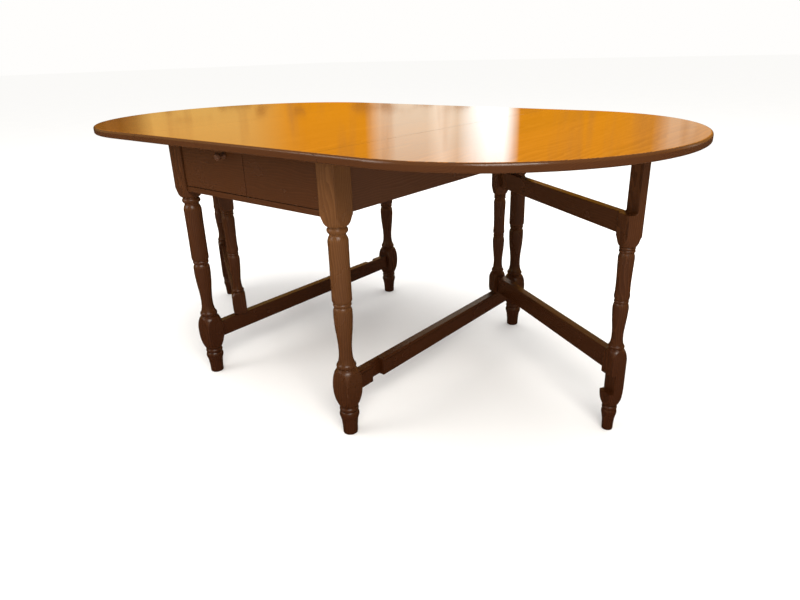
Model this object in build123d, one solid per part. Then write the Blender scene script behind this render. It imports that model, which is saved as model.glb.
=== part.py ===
from build123d import *
import os

# Gateleg drop leaf table, both leaves raised and both gates swung out.
# Origin on the floor under the middle of the top. +Z is up, +X runs along the
# hinge lines away from the drawer, and the right-hand leaf is on the -Y side.
# The frame and the gates repeat under a half turn about the vertical axis.

# ---- driving dimensions, mm ----
HEIGHT = 760
TOP_THICKNESS = 20
TOP_HALF_WIDTH = 550
TOP_HALF_LENGTH = 974
STRAIGHT_HALF_LENGTH = 480
RIM_TOP_ROUND = 6
RIM_BOTTOM_ROUND = 3

HINGE_LINE_Y = 350
RULE_STEP = 4
RULE_RADIUS = 12
RULE_GAP = 0.3

LEG_X = 440
LEG_Y = 299
LEG_SIZE = 56

APRON_BOTTOM = 595
APRON_THICKNESS = 24
APRON_OUTER_Y = 300
END_APRON_X = (440, 460)
END_TENON_X = (445, 455)
TENON_LENGTH = 18
TENON_SHOULDER = 7
THIN_SHOULDER = 3

STRETCHER_Z = (116, 166)
STRETCHER_Y = (282, 308)
STRETCHER_WEB = 9.5
STRETCHER_EDGE_ROUND = 4
QUIRK_DEPTH = 1.5
QUIRK_Z = (155.5, 157.5)
NOTCH_GAP = 1
NOTCH_SIDE_GAP = 1.5

GATE_ANGLE = 58
GATE_LENGTH = 646
GATE_LEG_SIZE = 42
GATE_PLANE_Y = 299
GATE_RAIL_THICKNESS = 22
UPPER_RAIL_Z = (535, 586)
GATE_LOWER_RAIL_Z = (173, 228)
GATE_TENON_LENGTH = 14
SHOULDER_Z = 587
SHOULDER_COVE = 7
HALVING_GAP = 0.5
GATE_FOOT_CLEARANCE = 0.5
GATE_TOP_CLEARANCE = 0.3
PIVOT_X = 318
PIVOT_Y = 291
PIVOT_RADIUS = 5
PIVOT_REACH = 30
PIVOT_CLEARANCE = 0.05
STOP_SIZE = (60, 22, 18)
STOP_GAP = 0.3

DRAWER_FACE_X = 464
DRAWER_FRONT_THICKNESS = 20
DRAWER_FRONT_Y = (1.5, 269.5)
DRAWER_FRONT_Z = (611.7, 726.5)
DRAWER_BOX_Y = (3, 267)
DRAWER_SIDE_TOP = 715
DRAWER_DEPTH = 400
DRAWER_WALL = 10
DRAWER_LAP = 10
DRAWER_BOTTOM_Z = (618, 623)
DRAWER_GROOVE = 5
KNOB_Y = 75
KNOB_Z = 711
FRONT_RAIL_BACK_X = 412
LOWER_FRONT_RAIL_Z = (595, 610)
UPPER_FRONT_RAIL_Z = (728, 740)
FIXED_FRONT_THICKNESS = 18
PANEL_REBATE = 5
FIXED_FRONT_EDGE_Y = -0.5
RUNNER_Z = (598, 611.4)
GUIDE_TOP = 640
KICKER_BOTTOM = 716

HINGE_X = (-300, 0, 300)
HINGE_LENGTH = 64
FLAP_THICKNESS = 1.8
FIXED_FLAP_REACH = 30
LEAF_FLAP_REACH = 46
KNUCKLES = 5
KNUCKLE_RADIUS = 3
KNUCKLE_GAP = 0.4
PIN_RADIUS = 1.3
FLAP_SCREW_SPREAD = 22
FIXED_SCREW_DISTANCE = 15
LEAF_SCREW_DISTANCE = 27
SCREW_HEAD_RADIUS = 3.2
SCREW_SHANK_RADIUS = 1.7
SHORT_SCREW = 12
LONG_SCREW = 32

BUTTON_X = (-250, 0, 250)
BUTTON_SIZE = (30, 34, 18)
BUTTON_TONGUE = 7
BUTTON_TONGUE_Z = (724, 730)
BUTTON_SLOT = 50

# ---- places that follow from them ----
UNDERSIDE = HEIGHT - TOP_THICKNESS
PIN_Z = HEIGHT - RULE_STEP - RULE_RADIUS
FLAP_Z = (PIN_Z - KNUCKLE_RADIUS, PIN_Z - KNUCKLE_RADIUS + FLAP_THICKNESS)
LEG_INNER_X = LEG_X - LEG_SIZE / 2
LEG_INNER_Y = LEG_Y - LEG_SIZE / 2
APRON_INNER_Y = APRON_OUTER_Y - APRON_THICKNESS
CLOSED_GATE_X = PIVOT_X - GATE_LENGTH
WEB_FACE_Y = STRETCHER_Y[0] + STRETCHER_WEB
DRAWER_BACK_X = DRAWER_DEPTH - DRAWER_FACE_X
FRONT_BACK_X = DRAWER_FRONT_THICKNESS - DRAWER_FACE_X
LONG = 2 * TOP_HALF_WIDTH + 20

# The leg's outline as (radius, height). Straight stretches join the points, an
# "arc" bulges through its middle point and a "curve" flows through all its points.
MAIN_LEG = [
    ("line", [(17.5, 0), (19.5, 2), (20.3, 22), (22, 41), (24.5, 51)]),
    ("arc", [(24.5, 51), (26.5, 60), (24.5, 67)]),
    ("line", [(24.5, 67), (22.5, 70)]),
    ("arc", [(22.5, 70), (25.6, 76), (22.5, 82)]),
    ("curve", [(22.5, 82), (26.1, 88), (30.3, 97), (35.8, 114), (38.3, 133)]),
    ("curve", [(38.3, 133), (38.8, 150), (37, 167), (32.7, 183)]),
    ("curve", [(32.7, 183), (28, 191), (22.5, 196)]),
    ("arc", [(22.5, 196), (25.9, 203), (22.5, 210)]),
    ("curve", [(22.5, 210), (19.3, 221), (17.4, 238), (18.8, 273), (22.4, 306), (24.4, 335), (24.4, 351)]),
    ("curve", [(24.4, 351), (23.4, 360), (20.5, 366)]),
    ("line", [(20.5, 366), (20.5, 368)]),
    ("arc", [(20.5, 368), (23.6, 372.5), (21.6, 377)]),
    ("curve", [(21.6, 377), (24.4, 381), (25.5, 389)]),
    ("curve", [(25.5, 389), (25.4, 430), (25.3, 480), (25.8, 530)]),
    ("curve", [(25.8, 530), (25.2, 540), (20.8, 550)]),
    ("line", [(20.8, 550), (20.8, 555)]),
    ("arc", [(20.8, 555), (26.2, 563), (22.5, 570)]),
    ("line", [(22.5, 570), (22.5, 572)]),
    ("curve", [(22.5, 572), (29.5, 576.5), (34, 585), (40, 600)]),
    ("line", [(40, 600), (40, UNDERSIDE)]),
]

# The part of the turning that the gate legs and the pivot posts share.
GATE_TURNING = [
    ("line", [(30, 185), (30, 211)]),
    ("curve", [(30, 211), (28, 221), (24.5, 231), (17.2, 240)]),
    ("arc", [(17.2, 240), (20.5, 245), (17.2, 250)]),
    ("curve", [(17.2, 250), (15, 262), (14.3, 278), (16.9, 310), (19.4, 343), (19, 356), (16.2, 364)]),
    ("arc", [(16.2, 364), (18, 367.5), (16.2, 371)]),
    ("curve", [(16.2, 371), (18.3, 376), (18.4, 388)]),
    ("curve", [(18.4, 388), (17.8, 410), (18.4, 440), (19.5, 474)]),
    ("curve", [(19.5, 474), (19.2, 484), (16.4, 493)]),
    ("arc", [(16.4, 493), (19.4, 497), (16.6, 500.5)]),
    ("arc", [(16.6, 500.5), (19.4, 504), (17.2, 507)]),
    ("curve", [(17.2, 507), (22, 511.5), (25.4, 520), (30, 533)]),
]
GATE_FOOT = [
    ("line", [(12.5, GATE_FOOT_CLEARANCE), (14, 2), (14.4, 12), (15.6, 31), (18, 45)]),
    ("arc", [(18, 45), (19.6, 55), (17.2, 63)]),
    ("arc", [(17.2, 63), (19.4, 68), (17.2, 73)]),
    ("curve", [(17.2, 73), (21.5, 81), (26.5, 94), (28.8, 112), (30, 130)]),
    ("line", [(30, 130), (30, 185)]),
]
GATE_TOP = UNDERSIDE - GATE_TOP_CLEARANCE
GATE_LEG = GATE_FOOT + GATE_TURNING + [("line", [(30, 533), (30, GATE_TOP)])]
POST_BOTTOM = STRETCHER_Z[1] + 1
POST_TOP = APRON_BOTTOM - 1
PIVOT_POST = [("curve", [(25.5, POST_BOTTOM), (28.4, 175), (30, 185)])] + GATE_TURNING
PIVOT_POST += [("line", [(30, 533), (30, POST_TOP)])]

KNOB = [
    ("line", [(5, -3), (5, 0), (8, 0)]),
    ("curve", [(8, 0), (7.5, 3), (5, 9), (5.2, 14)]),
    ("curve", [(5.2, 14), (9, 17), (10, 22), (7, 27.5), (0, 29)]),
]


def block(x, y, z):
    """A box given by its (low, high) pair along each axis."""
    size = [high - low for low, high in (x, y, z)]
    centre = [(high + low) / 2 for low, high in (x, y, z)]
    return Pos(*centre) * Box(*size)


def upright_rod(radius, x, y, z):
    return Pos(x, y, (z[0] + z[1]) / 2) * Cylinder(radius, z[1] - z[0])


def right_hinge_rod(radius, x):
    """A cylinder about the right-hand hinge line, over the (low, high) pair x."""
    return Pos((x[0] + x[1]) / 2, -HINGE_LINE_Y, PIN_Z) * Rot(0, 90, 0) * Cylinder(radius, x[1] - x[0])


def turning(profile):
    """A solid turned about the Z axis from an outline of (radius, height) stretches."""
    draw = {"line": Polyline, "arc": ThreePointArc, "curve": Spline}
    edges = []
    for kind, points in profile:
        edges += draw[kind](*points).edges()
    first = profile[0][1][0]
    last = profile[-1][1][-1]
    if last[0] > 0:
        edges += Line(last, (0, last[1])).edges()
    edges += Line((0, last[1]), (0, first[1])).edges()
    edges += Line((0, first[1]), first).edges()
    return revolve(Plane.XZ * make_face(edges), Axis.Z)


def squared_turning(profile, size):
    """A turned stick whose full-size stretches keep the square of the blank."""
    half = size / 2
    return turning(profile) & block((-half, half), (-half, half), (0, HEIGHT))


def inset(pair, amount):
    return pair[0] + amount, pair[1] - amount


def outset(pair, amount):
    return inset(pair, -amount)


def right(pair):
    """Distances from a middle plane, taken to its negative side."""
    return -pair[1], -pair[0]


def half_turn(shape):
    return Rot(0, 0, 180) * shape


def as_built(shape):
    return shape


# Right-hand pieces are drawn in place, and a half turn gives the left-hand ones.
SIDES = (("right", as_built), ("left", half_turn))


def group(shapes):
    return Compound(children=list(shapes))


# ---- screws ----
def screw(length):
    """A countersunk slotted wood screw: head face at the origin, driven along +Z."""
    taper = SCREW_HEAD_RADIUS - SCREW_SHANK_RADIUS
    head = Pos(0, 0, taper / 2) * Cone(SCREW_HEAD_RADIUS, SCREW_SHANK_RADIUS, taper)
    slot = block((-SCREW_HEAD_RADIUS, SCREW_HEAD_RADIUS), (-0.4, 0.4), (-1, 0.7))
    return head + upright_rod(SCREW_SHANK_RADIUS, 0, 0, (0, length)) - slot


def screw_hole(length):
    """The room that a screw takes, its slot included."""
    taper = SCREW_HEAD_RADIUS - SCREW_SHANK_RADIUS
    head = Pos(0, 0, taper / 2) * Cone(SCREW_HEAD_RADIUS, SCREW_SHANK_RADIUS, taper)
    return head + upright_rod(SCREW_SHANK_RADIUS, 0, 0, (0, length))


def drilled(shape, places, length):
    for place in places:
        shape -= place * screw_hole(length)
    return shape


def screws_at(places, length):
    return [place * screw(length) for place in places]


# ---- frame ----
def long_rail(y, z):
    """A right-hand rail along X between two legs, with a tenon on each end."""
    rail = block((-LEG_INNER_X, LEG_INNER_X), right(y), z)
    reach = LEG_INNER_X + TENON_LENGTH
    return rail + block((-reach, reach), right(inset(y, TENON_SHOULDER)), inset(z, TENON_SHOULDER))


def cross_rail(x, z, tenon_x, shoulder):
    """A rail along Y between two legs, with a tenon on each end."""
    rail = block(x, (-LEG_INNER_Y, LEG_INNER_Y), z)
    reach = LEG_INNER_Y + TENON_LENGTH
    return rail + block(tenon_x, (-reach, reach), inset(z, shoulder))


def pivot_hole(z):
    return upright_rod(PIVOT_RADIUS + PIVOT_CLEARANCE, PIVOT_X, -PIVOT_Y, z)


def button_places():
    return [Pos(x, -APRON_INNER_Y, 0) for x in BUTTON_X]


def side_apron():
    apron = long_rail((APRON_INNER_Y, APRON_OUTER_Y), (APRON_BOTTOM, UNDERSIDE))
    apron -= pivot_hole((APRON_BOTTOM - 1, POST_TOP + PIVOT_REACH + 1))
    for place in button_places():
        apron -= place * block((-BUTTON_SLOT / 2, BUTTON_SLOT / 2), (-BUTTON_TONGUE, 1), BUTTON_TONGUE_Z)
    return apron


def top_button():
    """A wooden button whose tongue holds in the apron's groove; drawn about the origin in X and Y."""
    width, depth, height = BUTTON_SIZE
    x = (-width / 2, width / 2)
    return block(x, (0, depth), (UNDERSIDE - height, UNDERSIDE)) + block(x, (-BUTTON_TONGUE, 0), BUTTON_TONGUE_Z)


def stretcher():
    """A long beaded stretcher, drilled for the gate's pivot and notched for the closed gate leg."""
    rail = long_rail(STRETCHER_Y, STRETCHER_Z)
    top_outer_edge = rail.edges().filter_by(Axis.X).group_by(Axis.Z)[-1].sort_by(Axis.Y)[0]
    rail = fillet(top_outer_edge, STRETCHER_EDGE_ROUND)
    rail -= block((-LEG_INNER_X, LEG_INNER_X), right((STRETCHER_Y[1] - QUIRK_DEPTH, STRETCHER_Y[1] + 1)),
                  QUIRK_Z)
    rail -= pivot_hole((POST_BOTTOM - PIVOT_REACH - 1, STRETCHER_Z[1] + 1))
    notch_half = GATE_LEG_SIZE / 2 + NOTCH_SIDE_GAP
    return rail - block((CLOSED_GATE_X - notch_half, CLOSED_GATE_X + notch_half),
                        right((WEB_FACE_Y, STRETCHER_Y[1] + 1)), outset(STRETCHER_Z, 1))


def frame_pieces():
    apron, bar, button = side_apron(), stretcher(), top_button()
    front_x, tenon_x = (-DRAWER_FACE_X, -FRONT_RAIL_BACK_X), right(END_TENON_X)
    pieces = {
        "end_apron": cross_rail(END_APRON_X, (APRON_BOTTOM, UNDERSIDE), END_TENON_X, TENON_SHOULDER),
        "drawer_rail_lower": cross_rail(front_x, LOWER_FRONT_RAIL_Z, tenon_x, THIN_SHOULDER),
        "drawer_rail_upper": cross_rail(front_x, UPPER_FRONT_RAIL_Z, tenon_x, THIN_SHOULDER),
    }
    screw_places = [place * Pos(0, BUTTON_SIZE[1] * 0.65, UNDERSIDE - BUTTON_SIZE[2]) for place in button_places()]
    bored_buttons, button_screws = [], []
    for place, screw_place in zip(button_places(), screw_places):
        bored_buttons.append(drilled(place * button, [screw_place], LONG_SCREW))
        button_screws += screws_at([screw_place], LONG_SCREW)
    for side, place in SIDES:
        pieces[f"side_apron_{side}"] = place(apron)
        pieces[f"stretcher_{side}"] = place(bar)
    pieces["top_buttons"] = group(place(button) for _, place in SIDES for button in bored_buttons)
    pieces["top_button_screws"] = group(place(item) for _, place in SIDES for item in button_screws)

    blank = squared_turning(MAIN_LEG, LEG_SIZE)
    tenoned = [piece for name, piece in pieces.items() if not name.startswith("top")]
    for end, x in (("drawer", -LEG_X), ("far", LEG_X)):
        for side, y in (("right", -LEG_Y), ("left", LEG_Y)):
            leg = Pos(x, y, 0) * blank
            for rail in tenoned:
                leg -= rail
            pieces[f"leg_{end}_{side}"] = leg
    return pieces, [place(spot * screw_hole(LONG_SCREW)) for _, place in SIDES for spot in screw_places]


def drawer_support_pieces():
    """What carries and guides the drawer, and the fixed panel beside it."""
    back = -FRONT_RAIL_BACK_X
    panel_back = FIXED_FRONT_THICKNESS - DRAWER_FACE_X
    front_z = (LOWER_FRONT_RAIL_Z[1], UPPER_FRONT_RAIL_Z[0])
    low_side, high_side = DRAWER_BOX_Y
    ledge = 15
    panel_y = (-LEG_INNER_Y, FIXED_FRONT_EDGE_Y)
    panel = block((-DRAWER_FACE_X, panel_back), panel_y, front_z)
    panel -= block((-DRAWER_FACE_X - 1, PANEL_REBATE - DRAWER_FACE_X), panel_y,
                   (front_z[0], DRAWER_FRONT_Z[0]))
    return {
        "fixed_front_panel": panel,
        "front_muntin": block((panel_back, panel_back + 22), (-30, -2), front_z),
        "drawer_runner_right": block((back, END_APRON_X[0]), (-26, low_side + ledge), RUNNER_Z)
        + block((back, END_APRON_X[0]), (-26, low_side - 0.6), (RUNNER_Z[1], GUIDE_TOP)),
        "drawer_runner_left": block((back, LEG_INNER_X), (high_side - ledge, APRON_INNER_Y), RUNNER_Z)
        + block((back, LEG_INNER_X), (high_side + 0.6, APRON_INNER_Y), (RUNNER_Z[1], GUIDE_TOP)),
        "drawer_kicker": block((back, END_APRON_X[0]), (-12, low_side + ledge), (KICKER_BOTTOM, UNDERSIDE)),
    }


# ---- drawer ----
def drawer_pieces():
    low, high = DRAWER_BOX_Y
    side_x = (FRONT_BACK_X - DRAWER_LAP, DRAWER_BACK_X)
    side_z = (DRAWER_FRONT_Z[0], DRAWER_SIDE_TOP)
    front = block((-DRAWER_FACE_X, FRONT_BACK_X), DRAWER_FRONT_Y, DRAWER_FRONT_Z)
    front = fillet(front.faces().sort_by(Axis.X)[0].edges(), 1)
    side_right = block(side_x, (low, low + DRAWER_WALL), side_z)
    side_left = block(side_x, (high - DRAWER_WALL, high), side_z)
    back = block((DRAWER_BACK_X - DRAWER_WALL, DRAWER_BACK_X), (low + DRAWER_WALL, high - DRAWER_WALL),
                 (DRAWER_BOTTOM_Z[1], DRAWER_SIDE_TOP - 5))
    bottom = block((FRONT_BACK_X - DRAWER_GROOVE, DRAWER_BACK_X),
                   (low + DRAWER_WALL - DRAWER_GROOVE, high - DRAWER_WALL + DRAWER_GROOVE), DRAWER_BOTTOM_Z)
    knob = Pos(-DRAWER_FACE_X, KNOB_Y, KNOB_Z) * Rot(0, -90, 0) * turning(KNOB)
    knob_screw_place = Pos(FRONT_BACK_X, KNOB_Y, KNOB_Z) * Rot(0, -90, 0)
    front = drilled(front - side_right - side_left - bottom - knob, [knob_screw_place], LONG_SCREW)
    return {
        "drawer_front": front,
        "drawer_side_right": side_right - bottom,
        "drawer_side_left": side_left - bottom,
        "drawer_back": back,
        "drawer_bottom": bottom,
        "drawer_knob": drilled(knob, [knob_screw_place], LONG_SCREW),
        "drawer_knob_screw": knob_screw_place * screw(LONG_SCREW),
    }


# ---- gates, drawn closed against the frame and then swung open ----
def swing_open(shape):
    return Pos(PIVOT_X, -PIVOT_Y, 0) * Rot(0, 0, GATE_ANGLE) * Pos(-PIVOT_X, PIVOT_Y, 0) * shape


def gate_rail(z):
    """A rail between the post and the gate leg, with a tenon on each end."""
    half = GATE_LEG_SIZE / 2
    x = (CLOSED_GATE_X + half, PIVOT_X - half)
    y = (GATE_PLANE_Y - GATE_RAIL_THICKNESS / 2, GATE_PLANE_Y + GATE_RAIL_THICKNESS / 2)
    tenons = block(outset(x, GATE_TENON_LENGTH), right(inset(y, TENON_SHOULDER)), inset(z, TENON_SHOULDER))
    return block(x, right(y), z) + tenons


def gate_leg():
    """The swinging leg: halved to pass the apron and notched over the stretcher."""
    half = GATE_LEG_SIZE / 2
    leg = Pos(CLOSED_GATE_X, -GATE_PLANE_Y, 0) * squared_turning(GATE_LEG, GATE_LEG_SIZE)
    across = (CLOSED_GATE_X - half - 1, CLOSED_GATE_X + half + 1)
    inner = GATE_PLANE_Y - half - 1
    halving = block(across, right((inner, APRON_OUTER_Y + HALVING_GAP)), (SHOULDER_Z, HEIGHT))
    inside_corner = halving.edges().filter_by(Axis.X).group_by(Axis.Z)[0].sort_by(Axis.Y)[0]
    leg -= fillet(inside_corner, SHOULDER_COVE)
    return leg - block(across, right((inner, WEB_FACE_Y + HALVING_GAP)), outset(STRETCHER_Z, NOTCH_GAP))


def gate_pieces():
    upper, lower = gate_rail(UPPER_RAIL_Z), gate_rail(GATE_LOWER_RAIL_Z)
    post = Pos(PIVOT_X, -GATE_PLANE_Y, 0) * squared_turning(PIVOT_POST, GATE_LEG_SIZE)
    dowels = [upright_rod(PIVOT_RADIUS, PIVOT_X, -PIVOT_Y, (z - PIVOT_REACH, z + PIVOT_REACH))
              for z in (POST_TOP, POST_BOTTOM)]
    closed = {
        "post": post - upper - lower - dowels[0] - dowels[1],
        "leg": gate_leg() - upper - lower,
        "upper_rail": upper,
        "lower_rail": lower,
    }
    pieces = {}
    for side, place in SIDES:
        for name, shape in closed.items():
            pieces[f"gate_{name}_{side}"] = place(swing_open(shape))
        pieces[f"gate_pivots_{side}"] = group(place(swing_open(dowel)) for dowel in dowels)
    return pieces


# ---- the top: an oval slab cut along two rule joints ----
def top_slab():
    bow = TOP_HALF_LENGTH - STRAIGHT_HALF_LENGTH
    outline = Rectangle(2 * TOP_HALF_WIDTH, 2 * STRAIGHT_HALF_LENGTH)
    for side in (1, -1):
        outline += Pos(0, side * STRAIGHT_HALF_LENGTH) * Ellipse(TOP_HALF_WIDTH, bow)
    slab = extrude(Pos(0, 0, UNDERSIDE) * outline, TOP_THICKNESS)
    slab = fillet(slab.faces().sort_by(Axis.Z)[-1].edges(), RIM_TOP_ROUND)
    return fillet(slab.faces().sort_by(Axis.Z)[0].edges(), RIM_BOTTOM_ROUND)


def centre_panel(slab):
    """The fixed middle of the top, with a rounded rule-joint edge on each side."""
    core = block((-LONG / 2, LONG / 2), (-HINGE_LINE_Y, HINGE_LINE_Y), (UNDERSIDE, HEIGHT))
    rounded_edge = right_hinge_rod(RULE_RADIUS, (-LONG / 2, LONG / 2))
    return slab & (core + rounded_edge + half_turn(rounded_edge))


def right_leaf(slab):
    """The right-hand leaf, with the hollow edge that laps the centre panel's."""
    outboard = block((-LONG / 2, LONG / 2), right((HINGE_LINE_Y + RULE_GAP, TOP_HALF_LENGTH + 1)),
                     (UNDERSIDE - 1, HEIGHT + 1))
    return (slab & outboard) - right_hinge_rod(RULE_RADIUS + RULE_GAP, (-LONG / 2, LONG / 2))


# ---- rule-joint hinges ----
def from_pin(towards, near, far):
    """Y values from near to far out from the pin; towards is +1 inboard, -1 outboard."""
    return sorted((-HINGE_LINE_Y + towards * near, -HINGE_LINE_Y + towards * far))


def hinge_flap(x, towards, reach, first_knuckle, bore):
    """A hinge plate on one side of the pin, with every second knuckle."""
    ends = (x - HINGE_LENGTH / 2, x + HINGE_LENGTH / 2)
    flap = block(ends, from_pin(towards, KNUCKLE_RADIUS + KNUCKLE_GAP, reach), FLAP_Z)
    pitch = HINGE_LENGTH / KNUCKLES
    for number in range(first_knuckle, KNUCKLES, 2):
        span = inset((ends[0] + number * pitch, ends[0] + (number + 1) * pitch), KNUCKLE_GAP / 2)
        flap += block(span, from_pin(towards, 0, reach), FLAP_Z)
        flap += right_hinge_rod(KNUCKLE_RADIUS, span)
    return flap - right_hinge_rod(bore, ends)


def flap_screw_places(x, towards, distance):
    """Three screws across a flap, the middle one a little further from the pin."""
    places = []
    for offset, further in ((-FLAP_SCREW_SPREAD, 0), (0, 6), (FLAP_SCREW_SPREAD, 0)):
        places.append(Pos(x + offset, -HINGE_LINE_Y + towards * (distance + further), FLAP_Z[0]))
    return places


def panel_pocket(x):
    """The recess in the centre panel for a fixed flap, the knuckles and the leaf flap's root."""
    ends = (x - HINGE_LENGTH / 2, x + HINGE_LENGTH / 2)
    flap_room = block(ends, from_pin(1, 0, FIXED_FLAP_REACH), (UNDERSIDE - 1, FLAP_Z[1]))
    knuckle_room = block(outset(ends, 0.5), (-HINGE_LINE_Y - RULE_RADIUS, -HINGE_LINE_Y + KNUCKLE_RADIUS + KNUCKLE_GAP),
                         (UNDERSIDE - 1, PIN_Z + KNUCKLE_RADIUS + 0.5))
    return flap_room + knuckle_room


def leaf_pocket(x):
    ends = (x - HINGE_LENGTH / 2, x + HINGE_LENGTH / 2)
    return block(ends, from_pin(-1, 0, LEAF_FLAP_REACH), (UNDERSIDE - 1, FLAP_Z[1]))


# ---- the block under each leaf that the open gate leg stops against ----
def stop_place():
    """The middle of the stop block's inner face, facing the gate leg's outer face."""
    return swing_open(Pos(CLOSED_GATE_X, -GATE_PLANE_Y - GATE_LEG_SIZE / 2 - STOP_GAP, UNDERSIDE))


def stop_screw_places():
    place = stop_place()
    length, width, height = STOP_SIZE
    return [place * Pos(x, -width / 2, -height) for x in (-length / 3, length / 3)]


def stop_block():
    length, width, height = STOP_SIZE
    bar = block((-length / 2, length / 2), (-width, 0), (-height, 0))
    return drilled(stop_place() * bar, stop_screw_places(), LONG_SCREW)


def top_pieces(button_holes):
    """The panel, the leaves, their hinges and the stop blocks."""
    slab = top_slab()
    panel, leaf = centre_panel(slab), right_leaf(slab)
    for hole in button_holes:
        panel -= hole
    pieces = {}
    fixed_places, leaf_places, pins = [], [], []
    for number, x in enumerate(HINGE_X, start=1):
        fixed_screws = flap_screw_places(x, 1, FIXED_SCREW_DISTANCE)
        leaf_screws = flap_screw_places(x, -1, LEAF_SCREW_DISTANCE)
        fixed = drilled(hinge_flap(x, 1, FIXED_FLAP_REACH, 0, PIN_RADIUS), fixed_screws, SHORT_SCREW)
        swinging = drilled(hinge_flap(x, -1, LEAF_FLAP_REACH, 1, PIN_RADIUS + PIVOT_CLEARANCE), leaf_screws,
                           SHORT_SCREW)
        fixed_places += fixed_screws
        leaf_places += leaf_screws
        pins.append(right_hinge_rod(PIN_RADIUS, (x - HINGE_LENGTH / 2, x + HINGE_LENGTH / 2)))
        leaf -= leaf_pocket(x)
        for side, place in SIDES:
            panel -= place(panel_pocket(x))
            pieces[f"hinge_fixed_flap_{side}_{number}"] = place(fixed)
            pieces[f"hinge_leaf_flap_{side}_{number}"] = place(swinging)
    for place in fixed_places:
        hole = place * screw_hole(SHORT_SCREW)
        panel = panel - hole - half_turn(hole)
    leaf = drilled(leaf, leaf_places, SHORT_SCREW)
    leaf = drilled(leaf, stop_screw_places(), LONG_SCREW)
    fixed_screw_solids = screws_at(fixed_places, SHORT_SCREW)
    for side, place in SIDES:
        pieces[f"leaf_{side}"] = place(leaf)
        pieces[f"hinge_pins_{side}"] = group(place(pin) for pin in pins)
        pieces[f"hinge_leaf_screws_{side}"] = group(place(item) for item in screws_at(leaf_places, SHORT_SCREW))
        pieces[f"gate_stop_{side}"] = place(stop_block())
        pieces[f"gate_stop_screws_{side}"] = group(
            place(item) for item in screws_at(stop_screw_places(), LONG_SCREW))
    pieces["hinge_fixed_screws"] = group(place(item) for _, place in SIDES for item in fixed_screw_solids)
    pieces["top_centre"] = panel
    return pieces


def main():
    os.makedirs("parts", exist_ok=True)
    pieces, button_holes = frame_pieces()
    pieces.update(drawer_support_pieces())
    pieces.update(drawer_pieces())
    pieces.update(gate_pieces())
    pieces.update(top_pieces(button_holes))
    for name, shape in pieces.items():
        export_step(shape, f"parts/{name}.step")


main()
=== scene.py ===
import math

import bpy
from mathutils import Matrix, Vector


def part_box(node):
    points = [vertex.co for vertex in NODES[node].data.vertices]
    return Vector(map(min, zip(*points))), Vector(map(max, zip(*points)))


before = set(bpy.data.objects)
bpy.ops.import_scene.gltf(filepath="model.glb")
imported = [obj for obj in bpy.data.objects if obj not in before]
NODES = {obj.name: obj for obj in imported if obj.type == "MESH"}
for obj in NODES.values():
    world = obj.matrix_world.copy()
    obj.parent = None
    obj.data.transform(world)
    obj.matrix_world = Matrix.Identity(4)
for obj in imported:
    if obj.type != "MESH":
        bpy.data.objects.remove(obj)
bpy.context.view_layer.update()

# Gateleg drop leaf table: dark turned frame, honey-coloured polished top.
# +X runs along the hinge lines away from the drawer, the right-hand leaf is on -Y.

SIDES = ("right", "left")


# ---- shader helper ----
class Shader:
    """A node tree built by calls; an input may be a number, a colour or another node's output."""

    def __init__(self, name):
        self.material = bpy.data.materials.new(name)
        self.material.use_nodes = True
        self.tree = self.material.node_tree
        self.tree.nodes.clear()

    def add(self, kind, inputs=(), **settings):
        node = self.tree.nodes.new("ShaderNode" + kind)
        for key, value in settings.items():
            setattr(node, key, value)
        for key, value in dict(inputs).items():
            if isinstance(value, bpy.types.NodeSocket):
                self.tree.links.new(value, node.inputs[key])
            else:
                node.inputs[key].default_value = value
        return node

    def math(self, operation, first, second=0.0):
        return self.add("Math", {0: first, 1: second}, operation=operation).outputs[0]

    def vector(self, operation, first, second=(0, 0, 0)):
        return self.add("VectorMath", {0: first, 1: second}, operation=operation).outputs[0]

    def noise(self, vector, scale, detail=2.0, roughness=0.5):
        """scale is one number, or three where the pattern is drawn out along an axis."""
        if isinstance(scale, tuple):
            vector, scale = self.vector("MULTIPLY", vector, scale), 1.0
        inputs = {"Vector": vector, "Scale": scale, "Detail": detail, "Roughness": roughness}
        return self.add("TexNoise", inputs).outputs["Fac"]

    def ramp(self, factor, low, high):
        """factor's span from low to high stretched over 0 to 1."""
        inputs = {"Value": factor, "From Min": low, "From Max": high}
        return self.add("MapRange", inputs, clamp=True).outputs[0]

    def mix(self, factor, first, second, blend="MIX"):
        node = self.add("Mix", {0: factor, 6: first, 7: second}, data_type="RGBA", blend_type=blend)
        return node.outputs[2]

    def finish(self, surface):
        output = self.add("OutputMaterial")
        self.tree.links.new(surface, output.inputs["Surface"])
        return self.material


def colour(red, green, blue):
    return (red, green, blue, 1.0)


# ---- wood ----
# pattern frequencies along the grain and twice across it, per metre
RING_DRIFT = (2.2, 9, 9)
FIBRES = (35, 700, 700)
PORES = (90, 1900, 1900)
CLOUDS = (1.6, 6, 6)
SCUFFS = (12, 45, 45)
SMUDGES = (7, 11, 11)

RING_WAVER = 0.05
PLANK_SHIFT = 0.9
PLANK_TONE_RANGE = 0.22
SEAM_WIDTH = 0.0022
SEAM_STRENGTH = 0.45
PORE_STRENGTH = 0.45
WORN_EDGE_RADIUS = 0.003
GRAIN_DEPTH = 0.0004


def grain_coordinates(shader, turn, seed):
    """Object coordinates turned so that X runs along the grain, moved to a fresh part of the pattern."""
    place = shader.add("TexCoord").outputs["Object"]
    shift = (0.37 * seed, 0.61 * seed, 0.83 * seed)
    return shader.add("Mapping", {"Vector": place, "Rotation": turn, "Location": shift}).outputs[0]


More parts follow.
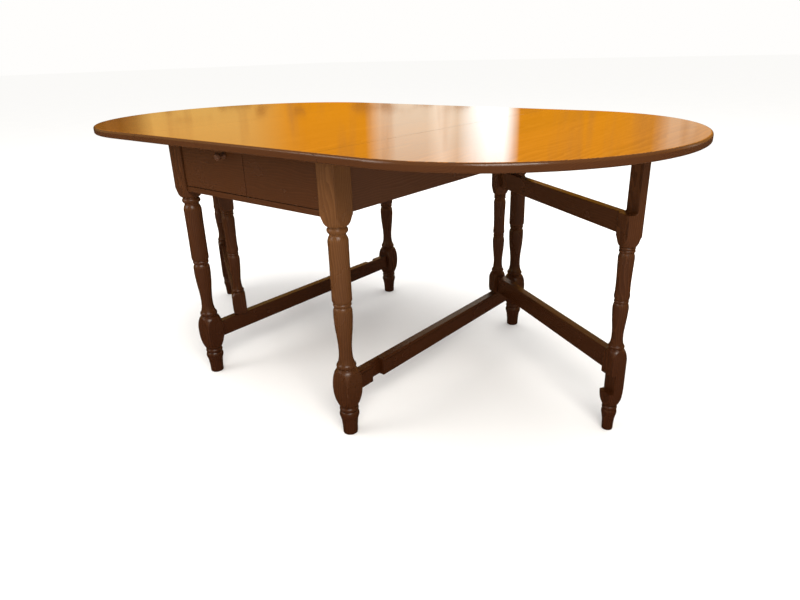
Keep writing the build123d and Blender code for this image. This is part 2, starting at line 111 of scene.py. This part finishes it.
def glued_planks(shader, place, width):
    """place moved at random in each plank, with the plank's random number and the seams between."""
    position = shader.math("DIVIDE", shader.add("SeparateXYZ", {0: place}).outputs[1], width)
    plank = shader.add("TexWhiteNoise", {"W": shader.math("FLOOR", position)}, noise_dimensions="1D")
    shift = shader.add("VectorMath", {0: plank.outputs["Color"], "Scale": PLANK_SHIFT}, operation="SCALE")
    off_middle = shader.math("ABSOLUTE", shader.math("SUBTRACT", shader.math("FRACT", position), 0.5))
    seams = shader.ramp(shader.math("MULTIPLY", off_middle, 2.0), 1 - SEAM_WIDTH / width, 1.0)
    return shader.vector("ADD", place, shift.outputs[0]), plank.outputs["Value"], seams


def growth_rings(shader, place, gap, slope):
    """Rings about an axis tipped from the grain, so that a sawn face shows long arches."""
    tipped = shader.add("Mapping", {"Vector": place, "Rotation": (0, slope, 1.4 * slope)}).outputs[0]
    drift = shader.noise(tipped, RING_DRIFT, 3.0)
    waver = shader.math("MULTIPLY", shader.math("SUBTRACT", drift, 0.5), RING_WAVER)
    wavered = shader.vector("ADD", tipped, shader.add("CombineXYZ", {1: waver, 2: waver}).outputs[0])
    rings_per_unit = 2 * math.pi / (20 * gap)
    inputs = {"Vector": wavered, "Scale": rings_per_unit, "Distortion": 1.2, "Detail": 2.0,
              "Detail Scale": 0.6}
    rings = shader.add("TexWave", inputs, wave_type="RINGS", rings_direction="X", wave_profile="SAW")
    return shader.ramp(rings.outputs["Fac"], 0.1, 1.0)


def worn_edges(shader, place, rounded):
    """1 where an edge's finish is rubbed through, found by how far its normal rounds off."""
    flat = shader.add("NewGeometry").outputs["Normal"]
    agreement = shader.add("VectorMath", {0: rounded, 1: flat}, operation="DOT_PRODUCT").outputs["Value"]
    edge = shader.ramp(shader.math("SUBTRACT", 1.0, agreement), 0.02, 0.25)
    return shader.math("MULTIPLY", edge, shader.ramp(shader.noise(place, SCUFFS, 4.0), 0.42, 0.62))


def wood(name, shades, turn, seed, roughness, ring_gap=0.006, slope=0.03, specular=0.3,
         contrast=1.0, boards=0.0, wear=0.35, bump=0.25, painted_shade_below=None):
    """Sawn timber. shades are its dark, middle and light colours; boards is the width of the planks
    glued side by side; the last argument is two heights and the tint of painted shade reached at the lower
    one."""
    shader = Shader(name)
    dark, middle, light = shades
    place = grain_coordinates(shader, turn, seed)
    if boards:
        place, plank_number, seams = glued_planks(shader, place, boards)

    rings = growth_rings(shader, place, ring_gap, slope)
    fibres = shader.noise(place, FIBRES)
    pores = shader.ramp(shader.noise(place, PORES, 1.0), 0.62, 0.72)
    clouds = shader.noise(place, CLOUDS, 3.0)
    figure = shader.math("ADD", shader.math("MULTIPLY", rings, 0.45), shader.math("MULTIPLY", fibres, 0.4))
    figure = shader.math("ADD", figure, shader.math("MULTIPLY", clouds, 0.35))
    figure = shader.math("MULTIPLY", shader.math("SUBTRACT", figure, 0.6), contrast)
    figure = shader.math("ADD", figure, 0.5)
    low = shader.mix(shader.ramp(figure, 0.0, 0.55), dark, middle)
    tone = shader.mix(shader.ramp(figure, 0.5, 1.0), low, light)
    tone = shader.mix(shader.math("MULTIPLY", pores, PORE_STRENGTH * contrast), tone, dark)

    if boards:
        lift = shader.math("MULTIPLY", shader.math("SUBTRACT", plank_number, 0.5), PLANK_TONE_RANGE)
        shade = shader.math("ADD", lift, 1.0)
        grey = shader.add("CombineColor", {0: shade, 1: shade, 2: shade}).outputs[0]
        tone = shader.mix(1.0, tone, grey, "MULTIPLY")
        tone = shader.mix(shader.math("MULTIPLY", seams, SEAM_STRENGTH), tone, dark)

    # painted shade: the colour darkens towards the floor, and the edge wear lightens less there
    if painted_shade_below:
        low_height, high_height, painted_shade_tint = painted_shade_below
        level = shader.add("SeparateXYZ", {0: shader.add("TexCoord").outputs["Object"]}).outputs[2]
        out_of_painted_shade = shader.ramp(level, low_height, high_height)
        tone = shader.mix(out_of_painted_shade, shader.mix(1.0, tone, painted_shade_tint, "MULTIPLY"), tone)
        wear = shader.math("MULTIPLY", out_of_painted_shade, wear)

    rounded = shader.add("Bevel", {"Radius": WORN_EDGE_RADIUS}, samples=3).outputs[0]
    rubbed = worn_edges(shader, place, rounded)
    tone = shader.mix(shader.math("MULTIPLY", rubbed, wear), tone, light)

    smudges = shader.math("SUBTRACT", shader.noise(place, SMUDGES, 4.0), 0.5)
    rough = shader.math("ADD", shader.math("MULTIPLY", smudges, 0.5 * roughness), roughness)
    relief = shader.math("SUBTRACT", shader.math("MULTIPLY", fibres, 0.35), pores)
    surface = shader.add("Bump", {"Strength": bump, "Distance": GRAIN_DEPTH, "Height": relief,
                                  "Normal": rounded})
    principled = shader.add("BsdfPrincipled", {
        "Base Color": tone, "Roughness": rough, "Normal": surface.outputs[0],
        "Specular IOR Level": specular})
    return shader.finish(principled.outputs[0])


# ---- metal ----
def aged_metal(name, tone, stain):
    """Old brass: dulled and darker in patches."""
    shader = Shader(name)
    place = shader.add("TexCoord").outputs["Object"]
    patches = shader.noise(place, 160.0, 5.0, 0.6)
    scratches = shader.noise(place, 1400.0)
    mixed = shader.mix(shader.ramp(patches, 0.35, 0.65), tone, stain)
    rough = shader.math("ADD", shader.math("MULTIPLY", patches, 0.35), 0.2)
    surface = shader.add("Bump", {"Strength": 0.2, "Distance": 0.0002, "Height": scratches})
    principled = shader.add("BsdfPrincipled", {
        "Base Color": mixed, "Metallic": 1.0, "Roughness": rough, "Normal": surface.outputs[0]})
    return shader.finish(principled.outputs[0])


# ---- colours, scene-linear: dark, middle and light of each wood ----
HONEY = (colour(0.135, 0.040, 0.004), colour(0.27, 0.092, 0.009), colour(0.38, 0.155, 0.020))
RIM = (colour(0.026, 0.009, 0.003), colour(0.060, 0.020, 0.006), colour(0.13, 0.048, 0.016))
WALNUT = (colour(0.020, 0.0062, 0.0018), colour(0.058, 0.0185, 0.0052), colour(0.12, 0.042, 0.013))
# the walnut lightened and warmed: painted light for the one leg that stands in the light
WALNUT_WITH_PAINTED_LIGHT = (colour(0.045, 0.016, 0.004), colour(0.112, 0.043, 0.012), colour(0.18, 0.078, 0.026))
BROWN_WALNUT = (colour(0.030, 0.011, 0.0045), colour(0.082, 0.031, 0.013), colour(0.15, 0.062, 0.026))
RAW = (colour(0.14, 0.068, 0.030), colour(0.28, 0.155, 0.075), colour(0.42, 0.26, 0.14))
KNOB = (colour(0.035, 0.013, 0.006), colour(0.085, 0.033, 0.016), colour(0.17, 0.075, 0.038))
# painted shade towards the floor: the tint reached at the feet, a deeper one for the leg with painted
# light, and the heights it fades between
FOOT_PAINTED_SHADE = colour(0.52, 0.40, 0.32)
LIT_LEG_FOOT_PAINTED_SHADE = colour(0.30, 0.19, 0.14)
PAINTED_SHADE_HEIGHTS = (0.06, 0.6)

# the turn that lays the grain along an axis
ALONG_X = (0, 0, 0)
ALONG_Y = (0, 0, math.pi / 2)
UPRIGHT = (0, math.pi / 2, 0)

TOP_PLANK_WIDTH = 0.14
TOP_RING_GAP = 0.011
TOP_SLOPE = 0.02


def along_gate(side):
    """The turn that lays the grain along an open gate's rails."""
    post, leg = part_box(f"gate_post_{side}"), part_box(f"gate_leg_{side}")
    run = (leg[0] + leg[1]) / 2 - (post[0] + post[1]) / 2
    return (0, 0, -math.atan2(run.y, run.x))


def both_sides(*names):
    return [f"{name}_{side}" for name in names for side in SIDES]


def paint(node, material):
    mesh = NODES[node].data
    mesh.materials.clear()
    mesh.materials.append(material)
    for face in mesh.polygons:
        face.material_index = 0


def paint_frame():
    upright = both_sides("leg_drawer", "leg_far", "gate_leg", "gate_post") + ["front_muntin"]
    along_x = both_sides("side_apron", "stretcher")
    along_y = ["end_apron", "drawer_rail_lower", "drawer_rail_upper", "fixed_front_panel", "drawer_front"]
    turned = [(name, UPRIGHT) for name in upright]
    turned += [(name, ALONG_X) for name in along_x]
    turned += [(name, ALONG_Y) for name in along_y]
    turned += [(f"gate_{rail}_rail_{side}", along_gate(side))
               for side in SIDES for rail in ("upper", "lower")]
    # leg_drawer_right gets a lighter walnut of painted light and a deeper painted shade at its foot;
    # side_apron_right gets a lighter, browner walnut; every frame piece gets painted shade towards the
    # floor
    own_shades = {"leg_drawer_right": WALNUT_WITH_PAINTED_LIGHT, "side_apron_right": BROWN_WALNUT}
    own_painted_shade = {"leg_drawer_right": LIT_LEG_FOOT_PAINTED_SHADE}
    for seed, (name, turn) in enumerate(turned, start=1):
        painted_shade_tint = own_painted_shade.get(name, FOOT_PAINTED_SHADE)
        contrast = 0.5 if turn == UPRIGHT else 0.28
        paint(name, wood(f"{name}_wood", own_shades.get(name, WALNUT), turn, seed, 0.26, ring_gap=0.005,
                         contrast=contrast, wear=0.14, painted_shade_below=(*PAINTED_SHADE_HEIGHTS, painted_shade_tint)))


def paint_inner_parts():
    along_x = ["drawer_runner_right", "drawer_runner_left", "drawer_kicker", "drawer_side_right",
               "drawer_side_left", "top_buttons", "gate_stop_right", "gate_stop_left"]
    turned = [(name, ALONG_X) for name in along_x]
    turned += [(name, ALONG_Y) for name in ("drawer_back", "drawer_bottom")]
    turned += [(name, UPRIGHT) for name in both_sides("gate_pivots")]
    for seed, (name, turn) in enumerate(turned, start=40):
        paint(name, wood(f"{name}_wood", RAW, turn, seed, 0.6, wear=0.1))
    paint("drawer_knob", wood("drawer_knob_wood", KNOB, ALONG_X, 60, 0.3, ring_gap=0.003))


def paint_metal():
    brass = aged_metal("aged_brass", colour(0.42, 0.29, 0.12), colour(0.16, 0.10, 0.045))
    for name in NODES:
        if "screw" in name or name.startswith("hinge_"):
            paint(name, brass)


def paint_top():
    """Polished upper face, dark rim and dull underside."""
    skin = 0.0004
    for name, seed in (("top_centre", 71), ("leaf_right", 76), ("leaf_left", 83)):
        mesh = NODES[name].data
        mesh.materials.clear()
        polish = wood(f"{name}_polish", HONEY, ALONG_X, seed, 0.05, ring_gap=TOP_RING_GAP, slope=TOP_SLOPE,
                      specular=0.5, contrast=0.6, boards=TOP_PLANK_WIDTH, wear=0.0, bump=0.006)
        rim = wood(f"{name}_rim", RIM, ALONG_X, seed + 3, 0.2, ring_gap=0.004, specular=0.5, contrast=0.3,
                   wear=0.0, bump=0.05)
        below = wood(f"{name}_underside", WALNUT, ALONG_X, seed, 0.5, ring_gap=TOP_RING_GAP,
                     slope=TOP_SLOPE, boards=TOP_PLANK_WIDTH, wear=0.1)
        for material in (polish, rim, below):
            mesh.materials.append(material)
        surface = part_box(name)[1].z - skin
        for face in mesh.polygons:
            if face.normal.z > 0.97 and face.center.z > surface:
                face.material_index = 0
            elif face.normal.z < -0.9:
                face.material_index = 2
            else:
                face.material_index = 1


paint_frame()
paint_inner_parts()
paint_metal()
paint_top()


# ---- stage: floor, mirrored room, lights and camera ----
FLOOR_REACH = 60.0
ROOM_RADIUS = 100

DARK = colour(0.02, 0.01, 0.005)
TAN = colour(0.80, 0.50, 0.14)
ORANGE = colour(0.82, 0.31, 0.004)
BLUSH = colour(0.95, 0.87, 0.70)
DAYLIGHT = colour(2.0, 2.2, 2.2)
EVENING = colour(1.3, 1.2, 1.0)
BROWN = colour(0.68, 0.28, 0.04)
CEILING = colour(0.50, 0.27, 0.10)
CURTAIN_FOLD = colour(0.35, 0.17, 0.06)
CLUTTER = colour(0.22, 0.09, 0.03)
ROOM_FLOOR = colour(0.11, 0.055, 0.028)

# the room's walls and windows: compass direction in degrees and the colour there
ROOM = [
    (-180, TAN), (-150, ORANGE), (-145, ORANGE), (-144, EVENING), (-135, EVENING), (-134, TAN),
    (-60, BROWN), (-31, ORANGE), (-30, EVENING), (-24, EVENING), (-23, BROWN), (10, BROWN),
    (12, BLUSH), (13, BROWN), (15, BLUSH), (16, BROWN), (20, ORANGE), (28.5, ORANGE), (29, DAYLIGHT),
    (31.6, DAYLIGHT), (33.2, BLUSH), (34, BLUSH), (34.3, EVENING), (35.2, EVENING), (35.6, BLUSH),
    (40.6, BLUSH), (41.2, ORANGE), (48.5, ORANGE), (53, TAN), (61.6, TAN), (62, DARK), (120, TAN),
]


def floor_paint(name, tone):
    shader = Shader(name)
    cloud = shader.noise(shader.add("TexCoord").outputs["Object"], 3.0, 3.0)
    lighter = tuple(min(1.0, channel * 1.03) for channel in tone[:3]) + (1.0,)
    principled = shader.add("BsdfPrincipled", {
        "Base Color": shader.mix(cloud, tone, lighter), "Roughness": 0.6, "Specular IOR Level": 0.0})
    return shader.finish(principled.outputs[0])


def room_paint(name):
    """The room that the polish mirrors, by compass direction: warm walls, curtains and windows."""
    shader = Shader(name)
    place = shader.vector("NORMALIZE", shader.add("TexCoord").outputs["Object"])
    axes = shader.add("SeparateXYZ", {0: place}).outputs
    compass = shader.math("DIVIDE", shader.math("ARCTAN2", axes[1], axes[0]), 2 * math.pi)
    walls = shader.add("ValToRGB", {0: shader.math("ADD", compass, 0.5)})
    elements = walls.color_ramp.elements
    for index, (degrees, tone) in enumerate(ROOM):
        position = degrees / 360 + 0.5
        element = elements[index] if index < 2 else elements.new(position)
        element.position = position
        element.color = tone

    height = shader.math("ARCSINE", axes[2])
    ceiling_share = shader.ramp(height, math.radians(9), math.radians(30))
    upper = shader.mix(ceiling_share, walls.outputs[0], CEILING)
    folds = shader.noise(place, (30, 30, 1.5), 3.0)
    upper = shader.mix(shader.ramp(folds, 0.5, 0.9), upper, CURTAIN_FOLD)
    clutter = shader.ramp(shader.noise(place, (22, 22, 40), 3.0), 0.52, 0.6)
    low_band = shader.math("MULTIPLY", clutter, shader.ramp(height, 0.098, 0.085))
    upper = shader.mix(shader.math("MULTIPLY", low_band, 0.7), upper, CLUTTER)
    whole = shader.mix(shader.ramp(height, -0.02, 0.02), ROOM_FLOOR, upper)
    material = shader.finish(shader.add("Emission", {"Color": whole, "Strength": 1.0}).outputs[0])
    material.cycles.emission_sampling = "NONE"
    return material


def floor():
    ends = (-FLOOR_REACH, FLOOR_REACH)
    corners = [(ends[0], ends[0], 0), (ends[1], ends[0], 0), (ends[1], ends[1], 0), (ends[0], ends[1], 0)]
    mesh = bpy.data.meshes.new("floor")
    mesh.from_pydata(corners, [], [(0, 1, 2, 3)])
    mesh.materials.append(floor_paint("floor_paint", colour(0.95, 0.95, 0.945)))
    obj = bpy.data.objects.new("floor", mesh)
    bpy.context.scene.collection.objects.link(obj)
    obj.visible_glossy = False


def reflected_room():
    """A sphere seen only by reflections."""
    bpy.ops.mesh.primitive_uv_sphere_add(segments=64, ring_count=32, radius=ROOM_RADIUS)
    room = bpy.context.object
    room.name = "reflected_room"
    room.data.materials.append(room_paint("reflected_room_paint"))
    room.data.polygons.foreach_set("use_smooth", [True] * len(room.data.polygons))
    room.visible_camera = False
    room.visible_diffuse = False
    room.visible_shadow = False
    room.visible_transmission = False


def soft_light(name, place, aim, size, power, tone, mirrored=True):
    data = bpy.data.lights.new(name, "AREA")
    data.shape = "RECTANGLE"
    data.size, data.size_y = size
    data.energy = power
    data.color = tone
    obj = bpy.data.objects.new(name, data)
    obj.location = place
    obj.rotation_euler = (Vector(aim) - Vector(place)).to_track_quat("-Z", "Y").to_euler()
    obj.visible_glossy = mirrored
    bpy.context.scene.collection.objects.link(obj)


def lights():
    world = bpy.data.worlds.new("studio")
    bpy.context.scene.world = world
    world.use_nodes = True
    background = world.node_tree.nodes["Background"]
    background.inputs["Color"].default_value = colour(1.0, 0.99, 0.975)
    background.inputs["Strength"].default_value = 1.0
    soft_light("key", (-2.6, -3.0, 3.4), (0, 0, 0.4), (2.4, 1.6), 150, (1.0, 0.95, 0.88))
    soft_light("fill", (-3.6, 2.2, 2.4), (0, 0, 0.5), (2.0, 1.6), 45, (1.0, 0.96, 0.92))
    soft_light("overhead", (0.3, 0.2, 3.6), (0, 0, 0.7), (3.2, 3.2), 110, (1.0, 0.97, 0.93), mirrored=False)


def camera():
    """The viewpoint of a standing person near the right-hand corner of the drawer end."""
    data = bpy.data.cameras.new("camera")
    data.lens = 27.71
    data.sensor_width = 36.0
    data.shift_x = -0.0036
    data.shift_y = 0.0009
    eye = Vector((-1.443, -1.313, 0.948))
    forward = Vector((0.7183, 0.5868, -0.3736)).normalized()
    right = Vector((0.6245, -0.7810, -0.0256))
    right = (right - forward * right.dot(forward)).normalized()
    up = right.cross(forward)
    obj = bpy.data.objects.new("camera", data)
    obj.matrix_world = Matrix.Translation(eye) @ Matrix((right, up, -forward)).transposed().to_4x4()
    bpy.context.scene.collection.objects.link(obj)
    bpy.context.scene.camera = obj


floor()
reflected_room()
lights()
camera()
bpy.context.scene.view_settings.view_transform = "Standard"
